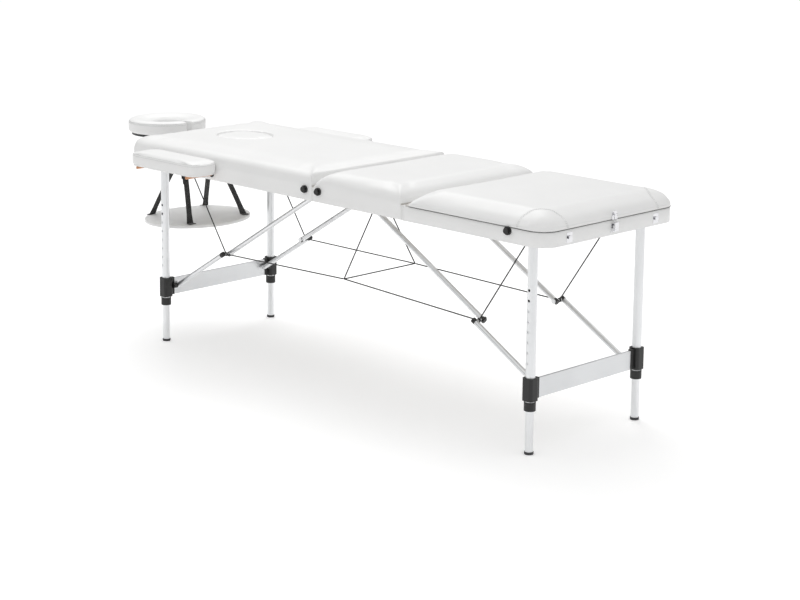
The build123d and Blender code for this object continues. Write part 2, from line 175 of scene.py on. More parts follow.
def timber(name, dark, light, stretch, roughness):
    finish = Finish(name, Coat_Weight=0.15)
    grain = finish.noise(60, 6, stretch)
    rings = finish.node("ShaderNodeValToRGB", {"stops": ((0.35, 0.0), (0.5, 1.0), (0.62, 0.25))},
                        {"Fac": grain})
    finish.set("Base Color", finish.colours(rings, dark, light))
    finish.set("Roughness", roughness + 0.15 * grain)
    finish.bump(grain, 0.2, 0.0004)
    return finish.material


def webbing():
    # ribs across the band and threads along it
    finish = Finish("blackWebbing", Roughness=0.75, Sheen_Weight=0.3)
    ribs = finish.node("ShaderNodeTexWave", {"bands_direction": "Z"},
                       {"Vector": finish.place, "Scale": 260, "Distortion": 0.3, "Detail": 1})
    threads = finish.node("ShaderNodeTexWave", {"bands_direction": "Y"},
                          {"Vector": finish.place, "Scale": 420, "Distortion": 0.3, "Detail": 1})
    weave = ribs * threads
    finish.set("Base Color", finish.colours(weave, (0.006, 0.006, 0.006), (0.03, 0.03, 0.03)))
    finish.bump(weave, 0.6, 0.0006)
    return finish.material


def coatedCable():
    # the strands' twist shows through the thin coat
    finish = Finish("coatedCable", Roughness=0.42)
    twist = finish.node("ShaderNodeTexWave", {"bands_direction": "DIAGONAL"},
                        {"Vector": finish.place, "Scale": 180, "Distortion": 0.2, "Detail": 1})
    finish.set("Base Color", finish.colours(twist, (0.008, 0.008, 0.008), (0.03, 0.03, 0.03)))
    finish.bump(twist, 0.5, 0.0004)
    return finish.material


def sewingThread():
    finish = Finish("sewingThread", Roughness=0.7)
    fibre = finish.noise(1500, 2)
    finish.set("Base Color", finish.colours(fibre, (0.42, 0.42, 0.42), (0.6, 0.6, 0.6)))
    finish.bump(fibre, 0.4, 0.0002)
    return finish.material


finishes = {
    "vinyl": whiteVinyl(),
    "tube": anodised("satinTube", (0.74, 0.75, 0.76), (0.84, 0.85, 0.86), (1, 1, 0.02)),
    "crossbar": anodised("brushedBar", (0.64, 0.65, 0.66), (0.73, 0.74, 0.75), (1, 0.02, 1)),
    "bracket": moulded("blackNylon", (0.006, 0.006, 0.006), (0.022, 0.022, 0.022), 0.38, 900),
    "rubber": moulded("footRubber", (0.03, 0.03, 0.032), (0.07, 0.07, 0.075), 0.6, 700),
    "bumper": moulded("bumperRubber", (0.005, 0.005, 0.005), (0.018, 0.018, 0.018), 0.42, 500),
    "steel": plated("zincPlate", (0.62, 0.62, 0.64), 0.28),
    "chrome": plated("brightChrome", (0.82, 0.82, 0.84), 0.08),
    "rod": timber("oiledBeech", (0.42, 0.17, 0.07), (0.72, 0.36, 0.18), (1, 0.06, 1), 0.35),
    "board": timber("greyedBoard", (0.50, 0.48, 0.45), (0.62, 0.60, 0.57), (0.05, 1, 1), 0.6),
    "paint": moulded("blackPaint", (0.006, 0.006, 0.006), (0.02, 0.02, 0.02), 0.3, 300),
    "webbing": webbing(),
    "cable": coatedCable(),
    "thread": sewingThread(),
}
print("finishes made:", len(finishes))


def clothe(obj, finish):
    obj.data.materials.clear()
    obj.data.materials.append(finishes[finish])
    return obj


def meshObject(name, verts, faces, finish, smooth=True):
    mesh = bpy.data.meshes.new(name)
    mesh.from_pydata([tuple(v) for v in verts], [], faces)
    mesh.validate()
    obj = bpy.data.objects.new(name, mesh)
    bpy.context.collection.objects.link(obj)
    fixNormals(obj)
    for face in mesh.polygons:
        face.use_smooth = smooth
    return clothe(obj, finish)


def fixNormals(obj):
    work = bmesh.new()
    work.from_mesh(obj.data)
    bmesh.ops.remove_doubles(work, verts=work.verts, dist=0.00002)
    bmesh.ops.recalc_face_normals(work, faces=work.faces)
    work.to_mesh(obj.data)
    work.free()


def bake(obj):
    # the modifiers' result becomes the object's own mesh
    bpy.context.view_layer.update()
    graph = bpy.context.evaluated_depsgraph_get()
    mesh = bpy.data.meshes.new_from_object(obj.evaluated_get(graph))
    obj.modifiers.clear()
    obj.data = mesh
    for face in mesh.polygons:
        face.use_smooth = True
    return obj


def placeOn(obj, body, slotName, *replaced):
    if replaced:
        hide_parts(*replaced)
    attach(obj, body)
    return obj


padLook = {
    "spacing": 9 * mm,        # cell size of the fabric
    "pressure": 4.0,
    "swell": 5 * mm,          # most that the fabric may move
    "simFrames": 20,
    "wrapDrop": 0.8 * mm,     # the cover lies this much lower where it is pulled over the rail
}


def stations(start, end, startRound, endRound, spacing):
    # positions between two ends, finer where the ends are rounded; distances run from start to end
    span = abs(end - start)
    curve = [1 - math.cos(math.pi / 2 * k / 6) for k in range(7)]
    result = [startRound * share for share in curve] if startRound else [0.0]
    tail = [span - endRound * share for share in reversed(curve)] if endRound else [span]
    flat = tail[0] - result[-1]
    count = max(1, round(flat / spacing))
    result += [result[-1] + flat * k / count for k in range(1, count)]
    result += tail
    sign = 1 if end > start else -1
    return [start + sign * value for value in result]


def dip(distance, radius, drop=None):
    # how far a rounded edge has fallen at a distance in from the side; drop is its full fall
    if radius <= 0 or distance >= radius:
        return 0.0
    return (drop or radius) * (1 - math.sqrt(max(0.0, 1 - (1 - distance / radius) ** 2)))


class Outline:
    # a rectangle whose corners may be rounded, the inner pair and the outer pair apart
    def __init__(self, inner, outer, low, high, innerCorner, outerCorner):
        self.inner, self.outer, self.low, self.high = inner, outer, low, high
        self.corners = (innerCorner, outerCorner)
        self.sign = 1 if outer > inner else -1

    def place(self, x, y, inset):
        # a point of the plain rectangle, moved so that the corners become round: x, y and distance in
        span = abs(self.outer - self.inner)
        u = abs(x - self.inner)
        fromLow, fromHigh = y - self.low, self.high - y
        near = min(fromLow, fromHigh)
        edge = min(u, span - u, near)
        rx, ry = self.corners[0] if u < span / 2 else self.corners[1]
        end = min(u, span - u)
        if rx > 0 and end < rx and near < ry:
            a, b = 1 - end / rx, 1 - near / ry
            p, q = a * math.sqrt(1 - b * b / 2), b * math.sqrt(1 - a * a / 2)
            reach = math.hypot(p, q)
            edge = min(rx, ry) * (1 - reach)
            end, near = rx * (1 - p), ry * (1 - q)
            u = end if u < span / 2 else span - end
            y = self.low + near if fromLow < fromHigh else self.high - near
        midX, midY = span / 2, (self.low + self.high) / 2
        scaleX, scaleY = 1 - 2 * inset / span, 1 - 2 * inset / (self.high - self.low)
        return self.inner + self.sign * (midX + (u - midX) * scaleX), midY + (y - midY) * scaleY, edge


def padMesh(name, shape):
    # a cushion's closed cover: crowned top, rounded edges, sides, and a skirt over a rail
    outline = Outline(shape["inner"], shape["outer"], shape["low"], shape["high"],
                      shape["innerCorner"], shape["outerCorner"])
    spacing = shape.get("spacing", padLook["spacing"])
    sideRound, endRound = shape["sideRound"], shape.get("innerRound", shape["sideRound"])
    roll = shape.get("roll", 0.0)
    xs = stations(shape["inner"], shape["outer"], roll or endRound, sideRound, spacing)
    ys = stations(shape["low"], shape["high"], sideRound, sideRound, spacing)
    span = abs(shape["outer"] - shape["inner"])
    top, base, crown = shape["top"], shape["base"], shape["crown"]
    skirt = shape.get("skirt", base)
    rollBase = shape.get("rollBase", base)
    verts, faces = [], []

    def rolled(x, z):
        if not roll:
            return z
        d = abs(x - shape["inner"])
        if d >= roll or z <= rollBase:
            return z
        return rollBase + (z - rollBase) * math.sqrt(1 - (1 - d / roll) ** 2)

    columns, rows = len(xs), len(ys)
    for x in xs:
        for y in ys:
            px, py, edge = outline.place(x, y, 0)
            u = abs(px - shape["inner"])
            inEnd = u < min(py - shape["low"], shape["high"] - py) and u < span / 2
            radius = endRound if inEnd else sideRound
            across = 1 - (2 * (py - shape["low"]) / (shape["high"] - shape["low"]) - 1) ** 4
            along = 1 - (2 * u / span - 1) ** 6
            drop = shape.get("sideDrop") if radius == sideRound else None
            z = top - dip(edge, 0 if roll and inEnd else radius, drop) + crown * across * along
            verts.append((px, py, rolled(px, z)))
    for i in range(columns - 1):
        for j in range(rows - 1):
            a = i * rows + j
            faces.append((a, a + rows, a + rows + 1, a + 1))
    rim = [j for j in range(rows)] + [i * rows + rows - 1 for i in range(1, columns)]
    rim += [(columns - 1) * rows + j for j in range(rows - 2, -1, -1)]
    rim += [i * rows for i in range(columns - 2, 0, -1)]
    count = len(rim)
    rimTop = [verts[k] for k in rim]
    levels = max(2, round((top - sideRound - skirt) / spacing))
    previous = rim
    openEnd = shape.get("openEnd", 0.0)      # half width of the outer end that has no rail to cover
    feet = [base if k // rows == columns - 1 and abs(verts[k][1]) < openEnd else skirt for k in rim]

    def walls(upper, lower):
        return [(upper[k], upper[(k + 1) % count], lower[(k + 1) % count], lower[k]) for k in range(count)]

    for level in range(1, levels + 1):
        ring = []
        for k, foot, (x, y, z) in zip(rim, feet, rimTop):
            zNew = z + (foot - z) * level / levels
            pull = padLook["wrapDrop"] if skirt < base and zNew < base - 2 * mm else 0
            px, py, _ = outline.place(xs[k // rows], ys[k % rows], pull)
            ring.append(len(verts))
            verts.append((px, py, zNew))
        faces += walls(previous, ring)
        previous = ring
    if skirt < base:
        for lift in (False, True):
            ring = []
            for k, foot in zip(rim, feet):
                px, py, _ = outline.place(xs[k // rows], ys[k % rows], 1.9 * mm)
                ring.append(len(verts))
                verts.append((px, py, base + 0.3 * mm if lift else foot))
            faces += walls(previous, ring)
            previous = ring
        bottom = base + 0.3 * mm
    else:
        bottom = base
    under = dict(zip(rim, previous))
    for i, x in enumerate(xs):
        for j, y in enumerate(ys):
            key = i * rows + j
            if key not in under:
                px, py, _ = outline.place(x, y, 1.9 * mm if skirt < base else 0)
                under[key] = len(verts)
                verts.append((px, py, bottom))
    for i in range(columns - 1):
        for j in range(rows - 1):
            a = i * rows + j
            faces.append((under[a], under[a + 1], under[a + rows + 1], under[a + rows]))
    return meshObject(name, verts, faces, "vinyl")


def puff(obj, hold, swell=None, pressure=None):
    # cloth under air pressure; hold(point) says how firmly a place is fixed, from 0 to 1
    swell = swell or padLook["swell"]
    rest = [v.co.copy() for v in obj.data.vertices]
    group = obj.vertex_groups.new(name="held")
    for vertex in obj.data.vertices:
        group.add([vertex.index], hold(vertex.co), "REPLACE")
    cloth = obj.modifiers.new("cloth", "CLOTH")
    cloth.settings.quality = 5
    cloth.settings.mass = 0.3
    cloth.settings.vertex_group_mass = "held"
    cloth.settings.use_pressure = True
    cloth.settings.uniform_pressure_force = pressure or padLook["pressure"]
    cloth.settings.tension_stiffness = 15
    cloth.settings.compression_stiffness = 8
    cloth.settings.bending_stiffness = 1.5
    cloth.settings.effector_weights.gravity = 0
    cloth.collision_settings.use_collision = False
    cloth.point_cache.frame_start, cloth.point_cache.frame_end = 1, padLook["simFrames"]
    for number in range(1, padLook["simFrames"] + 1):
        bpy.context.scene.frame_set(number)
    bake(obj)
    obj.vertex_groups.clear()
    for vertex, start in zip(obj.data.vertices, rest):
        move = vertex.co - start
        if move.length > swell:
            vertex.co = start + move * (swell / move.length)
    bpy.context.scene.frame_set(1)
    return obj


def finer(obj, levels=1):
    smooth = obj.modifiers.new("finer", "SUBSURF")
    smooth.levels = smooth.render_levels = levels
    return bake(obj)


def surfaceOf(obj):
    bpy.context.view_layer.update()
    return BVHTree.FromObject(obj, bpy.context.evaluated_depsgraph_get())


def onto(surface, guide, lift=0.0):
    # the guide points moved onto the cover, then out from it by lift
    result = []
    for point in guide:
        where, normal, _, _ = surface.find_nearest(Vector(point))
        result.append(where + normal * lift)
    return result


def groove(obj, guide, width, depth):
    # the cover is drawn in along a sewn line
    surface = [Vector(p) for p in guide]
    for vertex in obj.data.vertices:
        gap = min((vertex.co - p).length for p in surface)
        if gap < width:
            vertex.co -= vertex.normal * depth * (1 - gap / width) ** 2


def stitchTree():
    tree = bpy.data.node_groups.new("stitches", "GeometryNodeTree")
    for name, kind in (("Seam", "Geometry"), ("Spacing", "Float"), ("Length", "Float"), ("Radius", "Float"),
                       ("Finish", "Material"), ("Stitches", "Geometry")):
        direction = "OUTPUT" if name == "Stitches" else "INPUT"
        tree.interface.new_socket(name=name, in_out=direction, socket_type="NodeSocket" + kind)
    enter, leave = tree.nodes.new("NodeGroupInput"), tree.nodes.new("NodeGroupOutput")
    points = tree.nodes.new("GeometryNodeCurveToPoints")
    points.mode = "LENGTH"
    bead = tree.nodes.new("GeometryNodeMeshUVSphere")
    bead.inputs["Segments"].default_value = 6
    bead.inputs["Rings"].default_value = 5
    bead.inputs["Radius"].default_value = 1
    size = tree.nodes.new("ShaderNodeCombineXYZ")
    spread = tree.nodes.new("GeometryNodeInstanceOnPoints")
    real = tree.nodes.new("GeometryNodeRealizeInstances")
    paint = tree.nodes.new("GeometryNodeSetMaterial")
    link = tree.links.new
    link(enter.outputs["Seam"], points.inputs[0])
    link(enter.outputs["Spacing"], points.inputs["Length"])
    link(enter.outputs["Radius"], size.inputs[0])
    link(enter.outputs["Radius"], size.inputs[1])
    link(enter.outputs["Length"], size.inputs[2])
    link(points.outputs["Points"], spread.inputs["Points"])
    link(points.outputs["Rotation"], spread.inputs["Rotation"])
    link(bead.outputs["Mesh"], spread.inputs["Instance"])
    link(size.outputs[0], spread.inputs["Scale"])
    link(spread.outputs["Instances"], real.inputs[0])
    link(real.outputs[0], paint.inputs["Geometry"])
    link(enter.outputs["Finish"], paint.inputs["Material"])
    link(paint.outputs[0], leave.inputs["Stitches"])
    return tree


stitching = {"spacing": 5.5 * mm, "length": 2.0 * mm, "radius": 0.45 * mm, "lift": 0.2 * mm,
             "tree": stitchTree()}


def stitches(name, seams, body):
    # rows of thread along seams, each a list of points on a cover
    curve = bpy.data.curves.new(name, "CURVE")
    curve.dimensions = "3D"
    for seam in seams:
        spline = curve.splines.new("POLY")
        spline.points.add(len(seam) - 1)
        for point, where in zip(spline.points, seam):
            point.co = (*where, 1)
    source = bpy.data.objects.new(name + "Guide", curve)
    bpy.context.collection.objects.link(source)
    sew = source.modifiers.new("sew", "NODES")
    sew.node_group = stitching["tree"]
    names = {item.name: item.identifier for item in stitching["tree"].interface.items_tree}
    sew[names["Spacing"]] = stitching["spacing"]
    sew[names["Length"]] = stitching["length"]
    sew[names["Radius"]] = stitching["radius"]
    sew[names["Finish"]] = finishes["thread"]
    bpy.context.view_layer.update()
    mesh = bpy.data.meshes.new_from_object(source.evaluated_get(bpy.context.evaluated_depsgraph_get()))
    bpy.data.objects.remove(source)
    obj = bpy.data.objects.new(name, mesh)
    bpy.context.collection.objects.link(obj)
    clothe(obj, "thread")
    return placeOn(obj, body, "pad_cover")


padTop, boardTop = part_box("head_pad")[1][2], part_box("head_board")[1][2]
railBottom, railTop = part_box("head_rails")[0][2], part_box("head_rails")[1][2]
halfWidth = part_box("head_pad")[1][1]
cornerRadius = 58 * mm
holdHeight = 663 * mm      # the covers are fixed up to here, and free to swell above

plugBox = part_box("face_hole_plug")
plugCentre = Vector(((plugBox[0][0] + plugBox[1][0]) / 2, 0, 0))
plugHalf = ((plugBox[1][0] - plugBox[0][0]) / 2, plugBox[1][1])


def heldBelow(level):
    # firm at and below a height, free a little above it
    def hold(point):
        return min(1.0, max(0.0, 1 - (point.z - level) / (14 * mm)))
    return hold


def headCushion():
    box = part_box("head_pad")
    pad = padMesh("headCushion", {
        "inner": box[1][0], "outer": box[0][0], "low": -halfWidth, "high": halfWidth,
        "innerCorner": (3 * mm, 3 * mm), "outerCorner": (cornerRadius, cornerRadius),
        "sideRound": 36 * mm, "sideDrop": 26 * mm, "innerRound": 8 * mm, "crown": 3 * mm,
        "top": padTop - 3 * mm, "base": railTop, "skirt": railBottom})
    puff(pad, heldBelow(holdHeight))
    finer(pad)
    rim = 12 * mm
    for vertex in pad.data.vertices:      # the cover turns down into the breathing hole
        offset = vertex.co - plugCentre
        reach = math.hypot(offset.x / plugHalf[0], offset.y / plugHalf[1])
        gap = (reach - 1) * min(plugHalf)
        if vertex.co.z > boardTop and -20 * mm < gap < rim:
            vertex.co.z -= dip(max(gap, 0) * 0.8 + 0.4 * mm, rim * 0.6) * 0.9
    column = ellipseColumn(plugCentre, plugHalf[0] + 0.6 * mm, plugHalf[1] + 0.6 * mm,
                           railTop - 20 * mm, padTop + 30 * mm, 96)
    cutter = meshObject("holeCutter", *column, "vinyl")
    cut = pad.modifiers.new("hole", "BOOLEAN")
    cut.object = cutter
    cut.operation = "DIFFERENCE"
    cut.solver = "EXACT"
    bake(pad)
    bpy.data.objects.remove(cutter)
    clothe(pad, "vinyl")
    placeOn(pad, "head_half", "pad_cover", "head_pad")


def ellipseColumn(centre, rx, ry, low, high, count):
    verts = []
    for z in (low, high):
        for k in range(count):
            a = 2 * math.pi * k / count
            verts.append((centre.x + rx * math.cos(a), centre.y + ry * math.sin(a), z))
    faces = [tuple(range(count - 1, -1, -1)), tuple(range(count, 2 * count))]
    faces += [(k, (k + 1) % count, count + (k + 1) % count, count + k) for k in range(count)]
    return verts, faces


def plugCushion():
    pad = padMesh("breathingPlug", {
        "inner": plugBox[1][0], "outer": plugBox[0][0], "low": -plugHalf[1], "high": plugHalf[1],
        "innerCorner": plugHalf, "outerCorner": plugHalf, "sideRound": 9 * mm, "crown": 3 * mm,
        "top": plugBox[1][2] - 4 * mm, "base": plugBox[0][2], "spacing": 6 * mm})
    puff(pad, heldBelow(plugBox[0][2] + 20 * mm), swell=3 * mm)
    finer(pad)
    placeOn(pad, "face_hole_plug", "pad_cover", "face_hole_plug")


def middleCushion():
    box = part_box("middle_pad")
    pad = padMesh("middleCushion", {
        "inner": box[0][0], "outer": box[1][0], "low": -halfWidth, "high": halfWidth,
        "innerCorner": (3 * mm, 3 * mm), "outerCorner": (3 * mm, 3 * mm),
        "sideRound": 36 * mm, "sideDrop": 26 * mm, "crown": 3 * mm,
        "roll": 68 * mm, "rollBase": 640 * mm,
        "top": padTop - 3 * mm, "base": railTop, "skirt": railBottom, "openEnd": halfWidth - 21 * mm})
    puff(pad, heldBelow(holdHeight))
    finer(pad)
    placeOn(pad, "foot_half", "pad_cover", "middle_pad")


def backCushion():
    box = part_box("back_pad")
    inner, outer = box[0][0] + 11 * mm, box[1][0]
    base = boardTop - 3.5 * mm
    pad = padMesh("backCushion", {
        "inner": inner, "outer": outer, "low": -halfWidth, "high": halfWidth,
        "innerCorner": (3 * mm, 3 * mm), "outerCorner": (cornerRadius, cornerRadius),
        "sideRound": 58 * mm, "sideDrop": 34 * mm, "crown": 3 * mm,
        "roll": 60 * mm, "rollBase": base + 1 * mm,
        "top": padTop - 3 * mm, "base": base})
    puff(pad, heldBelow(holdHeight))
    finer(pad)
    surface = surfaceOf(pad)
    seams, grooves = [], []
    patch = {"radius": 98 * mm, "steps": 40, "rowGap": 4.5 * mm}
    for side in (-1, 1):
        corner = Vector((outer, side * halfWidth, 0))
        for row in (-1, 1):
            reach = patch["radius"] + row * patch["rowGap"] / 2
            guide = [Vector((outer - reach, side * halfWidth, z * mm)) for z in (662, 668, 674, 680)]
            for k in range(1, patch["steps"]):
                turn = math.pi / 2 * k / patch["steps"]
                guide.append(corner + Vector((-reach * math.cos(turn), -side * reach * math.sin(turn),
                                              padTop)))
            guide += [Vector((outer, side * (halfWidth - reach), z * mm)) for z in (680, 674, 668, 662)]
            seams.append(onto(surface, guide, stitching["lift"]))
            if row == 1:
                grooves += onto(surface, guide)
    groove(pad, grooves, 6 * mm, 1.5 * mm)
    stitches("backCornerStitches", seams, "backrest")
    placeOn(pad, "backrest", "pad_cover", "back_pad")


def backPiping():
    # the dark welt between the lifting pad and the rail
    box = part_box("back_pad")
    outline = Outline(box[0][0] + 14 * mm, box[1][0], -halfWidth, halfWidth,
                      (0, 0), (cornerRadius, cornerRadius))
    path = rimPath(outline, 12 * mm)
    z = railTop + 1.2 * mm
    tube("backWelt", [[Vector((x, y, z)) for x, y in path]], 0.6 * mm,
         "bumper", "backrest", "pad_cover")


def rimPath(outline, spacing):
    # near side, outer end, far side of a half, as one open path
    points = []
    span = abs(outline.outer - outline.inner)
    rx, ry = outline.corners[1]
    straight = max(2, round((span - rx) / spacing))
    for k in range(straight):
        points.append((outline.inner + outline.sign * (span - rx) * k / straight, outline.low))
    for k in range(13):
        turn = math.pi / 2 * k / 12
        points.append((outline.outer - outline.sign * rx * (1 - math.sin(turn)),
                       outline.low + ry * (1 - math.cos(turn))))
    mirrored = [(x, outline.low + outline.high - y) for x, y in reversed(points)]
    return points + mirrored


def tube(name, paths, radius, finish, body, slotName, sides=4, replaced=()):
    curve = bpy.data.curves.new(name, "CURVE")
    curve.dimensions = "3D"
    curve.bevel_depth = radius
    curve.bevel_resolution = sides
    curve.use_fill_caps = True
    for path in paths:
        spline = curve.splines.new("POLY")
        spline.points.add(len(path) - 1)
        for point, where in zip(spline.points, path):
            point.co = (*where, 1)
    source = bpy.data.objects.new(name + "Line", curve)
    bpy.context.collection.objects.link(source)
    bpy.context.view_layer.update()
    mesh = bpy.data.meshes.new_from_object(source.evaluated_get(bpy.context.evaluated_depsgraph_get()))
    bpy.data.objects.remove(source)
    obj = bpy.data.objects.new(name, mesh)
    bpy.context.collection.objects.link(obj)
    for face in mesh.polygons:
        face.use_smooth = True
    clothe(obj, finish)
    return placeOn(obj, body, slotName, *replaced) if body else obj


def railWrap():
    # the cover glued round the outer end of the foot half's frame
    wrap = {"thick": 1.2 * mm, "edge": 0.5 * mm, "top": railTop - 0.3 * mm, "start": 382.5}
    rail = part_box("foot_rails")
    inner = at(1, wrap["start"])
    thick = wrap["thick"]
    outer = Outline(inner, rail[1][0] + thick, rail[0][1] - thick, rail[1][1] + thick,
                    (0, 0), (cornerRadius - 1 * mm, cornerRadius - 1 * mm))
    back = Outline(inner, rail[1][0] + 0.1 * mm, rail[0][1] - 0.1 * mm, rail[1][1] + 0.1 * mm,
                   (0, 0), (cornerRadius - 2 * mm, cornerRadius - 2 * mm))
    outside, inside = rimPath(outer, 20 * mm), rimPath(back, 20 * mm)
    low, high, edge = railBottom - 0.5 * mm, wrap["top"], wrap["edge"]
    verts, faces = [], []
    for (ox, oy), (ix, iy) in zip(outside, inside):
        nx, ny = ox + (ix - ox) * 0.4, oy + (iy - oy) * 0.4
        verts += [(nx, ny, low), (ox, oy, low + edge), (ox, oy, high - edge),
                  (nx, ny, high), (ix, iy, high), (ix, iy, low)]
    ring = 6
    for k in range(len(outside) - 1):
        for j in range(ring):
            a, b = k * ring + j, k * ring + (j + 1) % ring
            faces.append((a, b, b + ring, a + ring))
    faces.append(tuple(range(ring)))
    faces.append(tuple(len(verts) - ring + j for j in range(ring)))
    obj = meshObject("footRailWrap", verts, faces, "vinyl")
    placeOn(obj, "foot_half", "rail_wood")


armrestLook = {
    "corner": 30 * mm,
    "seamDrop": 9 * mm,       # the rim's seam lies this far under the top
    "rowGap": 3.5 * mm,
    "inset": 3 * mm,          # the board under the pad is this much smaller all round
    "boardBase": 637 * mm,
    "rodStations": (475, 730),
    "rodHeight": 632 * mm,
    "rodRadius": 4.9 * mm,
}


def armrestCushions():
    for place in ("near", "far"):
        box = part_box(f"armrest_{place}_pad")
        corner = (armrestLook["corner"],) * 2
        pad = padMesh(f"armrestCushion_{place}", {
            "inner": box[1][0], "outer": box[0][0], "low": box[0][1], "high": box[1][1],
            "innerCorner": corner, "outerCorner": corner, "sideRound": 7 * mm, "crown": 2 * mm,
            "top": box[1][2] - 4 * mm, "base": box[0][2], "spacing": 7 * mm})
        puff(pad, heldBelow(box[0][2] + 8 * mm), swell=4 * mm)
        finer(pad)
        surface = surfaceOf(pad)
        outline = Outline(box[1][0], box[0][0], box[0][1], box[1][1], corner, corner)
        path = closedRim(outline)
        level = box[1][2] - armrestLook["seamDrop"]
        groove(pad, onto(surface, [(x, y, level) for x, y in path]), 4 * mm, 0.5 * mm)
        surface = surfaceOf(pad)
        rows = [onto(surface, [(x, y, level + gap) for x, y in path], stitching["lift"])
                for gap in (armrestLook["rowGap"], -armrestLook["rowGap"])]
        stitches(f"armrestStitches_{place}", rows, f"armrest_{place}")
        placeOn(pad, f"armrest_{place}", "pad_cover", f"armrest_{place}_pad")


def closedRim(outline, steps=16):
    # all the way round an outline with rounded corners
    points = []
    middleX, middleY = (outline.inner + outline.outer) / 2, (outline.low + outline.high) / 2
    halfX, halfY = abs(outline.outer - outline.inner) / 2, (outline.high - outline.low) / 2
    rx, ry = outline.corners[0]
    for quarter in range(4):
        signX, signY = ((1, -1), (1, 1), (-1, 1), (-1, -1))[quarter]
        for k in range(steps + 1):
            turn = math.pi / 2 * (quarter - 1 + k / steps)
            points.append((middleX + signX * (halfX - rx) + rx * math.cos(turn),
                           middleY + signY * (halfY - ry) + ry * math.sin(turn)))
    points.append(points[0])
    dense = []
    for (ax, ay), (bx, by) in zip(points, points[1:]):
        count = max(1, round(math.hypot(bx - ax, by - ay) / (6 * mm)))
        dense += [(ax + (bx - ax) * k / count, ay + (by - ay) * k / count) for k in range(count)]
    dense.append(dense[0])
    return dense


def armrestFrames():
    # the covered board under each pad, and its two wooden rods
    for place, side in (("near", -1), ("far", 1)):
        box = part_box(f"armrest_{place}_pad")
        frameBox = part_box(f"armrest_{place}_frame")
        inset = armrestLook["inset"]
        corner = (armrestLook["corner"] - inset,) * 2
        board = padMesh(f"armrestBoard_{place}", {
            "inner": box[1][0] - inset, "outer": box[0][0] + inset,
            "low": box[0][1] + inset, "high": box[1][1] - inset,
            "innerCorner": corner, "outerCorner": corner, "sideRound": 1.5 * mm, "crown": 0,
            "top": box[0][2] + 1 * mm, "base": armrestLook["boardBase"], "spacing": 20 * mm})
        placeOn(board, f"armrest_{place}", "armrest_wood")
        ends = (frameBox[1][1], frameBox[0][1]) if side < 0 else (frameBox[0][1], frameBox[1][1])
        rods = [[Vector((at(-1, s), y, armrestLook["rodHeight"])) for y in ends]
                for s in armrestLook["rodStations"]]
        piece = tube(f"armrestRods_{place}", rods, armrestLook["rodRadius"], "rod", None, "", sides=6)
        placeOn(piece, f"armrest_{place}", "armrest_wood", f"armrest_{place}_frame")


def cradleCushion():
    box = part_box("cradle_cushion")
    look = {"holeX": 55 * mm, "holeY": 58 * mm, "gap": 4.5 * mm, "turns": 96, "voxel": 5 * mm,
            "outset": -3 * mm, "rowDrops": (7.5 * mm, 11.5 * mm)}
    centre = Vector(((box[0][0] + box[1][0]) / 2, 0, 0))
    halfX, halfY = (box[1][0] - box[0][0]) / 2 + look["outset"], box[1][1] + look["outset"]
    bottom, top = box[0][2] + 1 * mm, box[1][2] - 3 * mm
    # the rim's section, from the outside over the top to the hole: share of the way in, share of the height
    profile = ((0.0, 0.10), (0.0, 0.85), (0.06, 0.96), (0.20, 1.0), (0.50, 0.98), (0.78, 0.86),
               (0.96, 0.60), (1.0, 0.35), (0.97, 0.10), (0.90, 0.0), (0.08, 0.0))
    open_ = math.asin(look["gap"] / look["holeY"]) * 1.1
    verts, faces = [], []
    ring = len(profile)
    for k in range(look["turns"] + 1):
        turn = open_ + (2 * math.pi - 2 * open_) * k / look["turns"]
        for share, height in profile:
            outX, outY = halfX * math.cos(turn), halfY * math.sin(turn)
            inX, inY = look["holeX"] * math.cos(turn), look["holeY"] * math.sin(turn)
            x, y = outX + (inX - outX) * share, outY + (inY - outY) * share
            if abs(turn - math.pi) > math.pi - 0.5 and abs(y) < look["gap"]:
                y = math.copysign(look["gap"], math.sin(turn))
            verts.append((centre.x + x, y, bottom + (top - bottom) * height))
    for k in range(look["turns"]):
        for j in range(ring):
            a, b = k * ring + j, k * ring + (j + 1) % ring
            faces.append((a, b, b + ring, a + ring))
    faces.append(tuple(range(ring)))
    faces.append(tuple(len(verts) - ring + j for j in range(ring)))
    pad = meshObject("cradleCushion", verts, faces, "vinyl")
    voxels = pad.modifiers.new("even", "REMESH")
    voxels.mode = "VOXEL"
    voxels.voxel_size = look["voxel"]
    bake(pad)
    puff(pad, heldBelow(bottom + 4 * mm), swell=4 * mm)
    finer(pad)
    clothe(pad, "vinyl")
    surface = surfaceOf(pad)
    rows = []
    for drop in look["rowDrops"]:
        path = []
        for k in range(150):
            turn = open_ + 0.06 + (2 * math.pi - 2 * open_ - 0.12) * k / 149
            path.append((centre.x + (halfX + 6 * mm) * math.cos(turn),
                         (halfY + 6 * mm) * math.sin(turn), top - drop + 3 * mm))
        rows.append(path)
    line = [(a[0], a[1], (a[2] + b[2]) / 2) for a, b in zip(*rows)]
    groove(pad, onto(surface, line), 5 * mm, 1.6 * mm)
    surface = surfaceOf(pad)
    stitches("cradleStitches", [onto(surface, row, stitching["lift"]) for row in rows], "cradle_head")
    placeOn(pad, "cradle_head", "pad_cover", "cradle_cushion")


slingLook = {
    "strapWide": 22 * mm,
    "strapThick": 1.6 * mm,
    "steps": 14,
    "footX": 105 * mm,        # where a strap is sewn to the pad, from the pad's middle
    "footY": 122 * mm,
    "headX": 8 * mm,
    "headY": 70 * mm,
    "rest": 3 * mm,           # folded, the sling lies this far under the rails
    "keep": 0.02,
}


